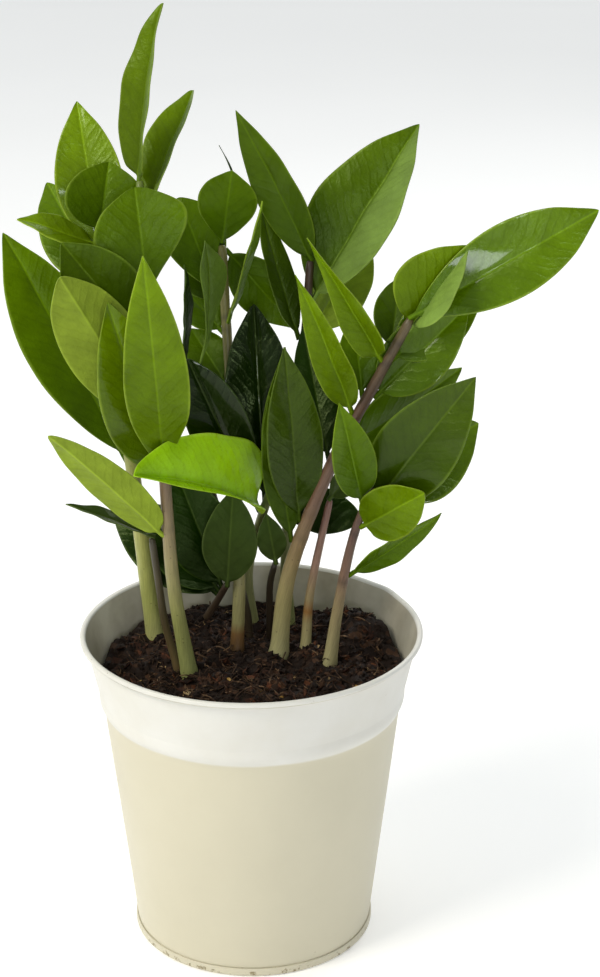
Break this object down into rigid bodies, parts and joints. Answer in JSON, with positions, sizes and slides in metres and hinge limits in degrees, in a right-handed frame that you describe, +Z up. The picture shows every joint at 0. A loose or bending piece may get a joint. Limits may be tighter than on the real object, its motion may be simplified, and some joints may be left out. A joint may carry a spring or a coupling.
{
  "type": "potted zz plant",
  "caption": "Young zz plant with glossy pointed leaves on slim stalks, growing in dark soil in a two-tone cream painted metal pot with a rolled rim.",
  "frame": {"origin": "centre of the pot's underside, on the level it stands on", "axes": "+Z up along the pot's axis; +X to the viewer's right and -Y towards the viewer when the plant is seen from its front"},
  "size_m": [0.2126, 0.127, 0.3506],
  "materials": {
    "painted_sheet_metal": "satin",
    "potting_soil": "rough",
    "stalk": "satin",
    "leaf": "glossy"
  },
  "bodies": {
    "root": {"pot_wall": "painted_sheet_metal", "pot_base": "painted_sheet_metal", "soil": "potting_soil", "stalk_left": "stalk", "stalk_front_thin": "stalk", "stalk_front_left": "stalk", "stalk_leaning": "stalk", "stalk_centre_back": "stalk", "stalk_back_dark": "stalk", "stalk_centre_pale": "stalk", "stalk_centre_thin": "stalk", "stalk_behind": "stalk", "stalk_main": "stalk", "stalk_slim": "stalk", "stalk_right": "stalk", "leaf_left_1": "leaf", "leaf_left_2": "leaf", "leaf_left_3": "leaf", "leaf_left_4": "leaf", "leaf_left_5": "leaf", "leaf_front_thin_1": "leaf", "leaf_front_left_1": "leaf", "leaf_front_left_2": "leaf", "leaf_front_left_3": "leaf", "leaf_front_left_4": "leaf", "leaf_front_left_5": "leaf", "leaf_front_left_6": "leaf", "leaf_front_left_7": "leaf", "leaf_front_left_8": "leaf", "leaf_leaning_1": "leaf", "leaf_leaning_2": "leaf", "leaf_leaning_3": "leaf", "leaf_centre_back_1": "leaf", "leaf_centre_back_2": "leaf", "leaf_centre_back_3": "leaf", "leaf_centre_back_4": "leaf", "leaf_centre_back_5": "leaf", "leaf_back_dark_1": "leaf", "leaf_centre_pale_1": "leaf", "leaf_centre_pale_2": "leaf", "leaf_centre_pale_3": "leaf", "leaf_centre_pale_4": "leaf", "leaf_centre_thin_1": "leaf", "leaf_behind_1": "leaf", "leaf_behind_2": "leaf", "leaf_behind_3": "leaf", "leaf_behind_4": "leaf", "leaf_main_1": "leaf", "leaf_main_2": "leaf", "leaf_main_3": "leaf", "leaf_main_4": "leaf", "leaf_main_5": "leaf", "leaf_main_6": "leaf", "leaf_main_7": "leaf", "leaf_main_8": "leaf", "leaf_main_9": "leaf", "leaf_right_1": "leaf", "leaf_right_2": "leaf", "leaf_right_3": "leaf", "leaf_right_4": "leaf"}
  },
  "joints": []
}
